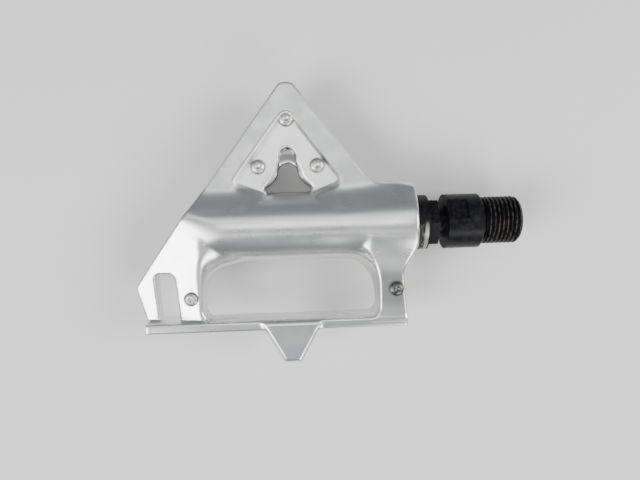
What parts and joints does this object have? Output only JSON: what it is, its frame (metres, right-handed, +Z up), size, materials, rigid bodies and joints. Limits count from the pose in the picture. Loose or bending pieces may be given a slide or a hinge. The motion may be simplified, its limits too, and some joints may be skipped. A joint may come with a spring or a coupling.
{
  "type": "toe clip pedal",
  "caption": "One-sided bicycle pedal: cast aluminium frame with a triangular toe plate, strap slot, grip studs and flip tab, turning on a black threaded spindle.",
  "frame": {"origin": "on the spindle axis, at the shoulder that meets the crank", "axes": "+X along the spindle to the crank, +Y to the toe, +Z up out of the riding face"},
  "size_m": [0.1148, 0.0812, 0.024],
  "materials": {
    "cast_aluminium": "bright cast, satin on the rim",
    "stud_steel": "dull, dark round the edge",
    "lock_bolt_black": "black, scuffed to grey",
    "seal_rubber": "matte",
    "bearing_steel": "plain",
    "ball_steel": "polished",
    "spindle_black": "black, satin"
  },
  "bodies": {
    "spindle": {"spindle": "spindle_black", "outer_cone": "bearing_steel", "lock_washer": "bearing_steel", "lock_nut": "bearing_steel"},
    "pedal": {"pedal_body": "cast_aluminium", "toe_stud": "stud_steel", "toe_outer_stud": "stud_steel", "toe_crank_stud": "stud_steel", "rear_outer_stud": "stud_steel", "rear_crank_stud": "stud_steel", "lock_bolt": "lock_bolt_black", "spindle_seal": "seal_rubber", "bearing_sleeve": "bearing_steel", "crank_side_cup": "bearing_steel", "outer_cup": "bearing_steel"},
    "crank_side_balls": {"crank_side_balls": "ball_steel"},
    "outer_balls": {"outer_balls": "ball_steel"}
  },
  "joints": [
    {"name": "pedal_spin", "type": "hinge", "parent": "spindle", "child": "pedal", "pos_m": [0, 0, 0], "axis": [1, 0, 0], "continuous": true},
    {"name": "crank_side_balls_roll", "type": "hinge", "parent": "spindle", "child": "crank_side_balls", "pos_m": [0, 0, 0], "axis": [1, 0, 0], "continuous": true},
    {"name": "outer_balls_roll", "type": "hinge", "parent": "spindle", "child": "outer_balls", "pos_m": [0, 0, 0], "axis": [1, 0, 0], "continuous": true}
  ],
  "couplings": [
    {"joint": "crank_side_balls_roll", "follows": "pedal_spin", "ratio": 0.581},
    {"joint": "outer_balls_roll", "follows": "pedal_spin", "ratio": 0.581}
  ]
}
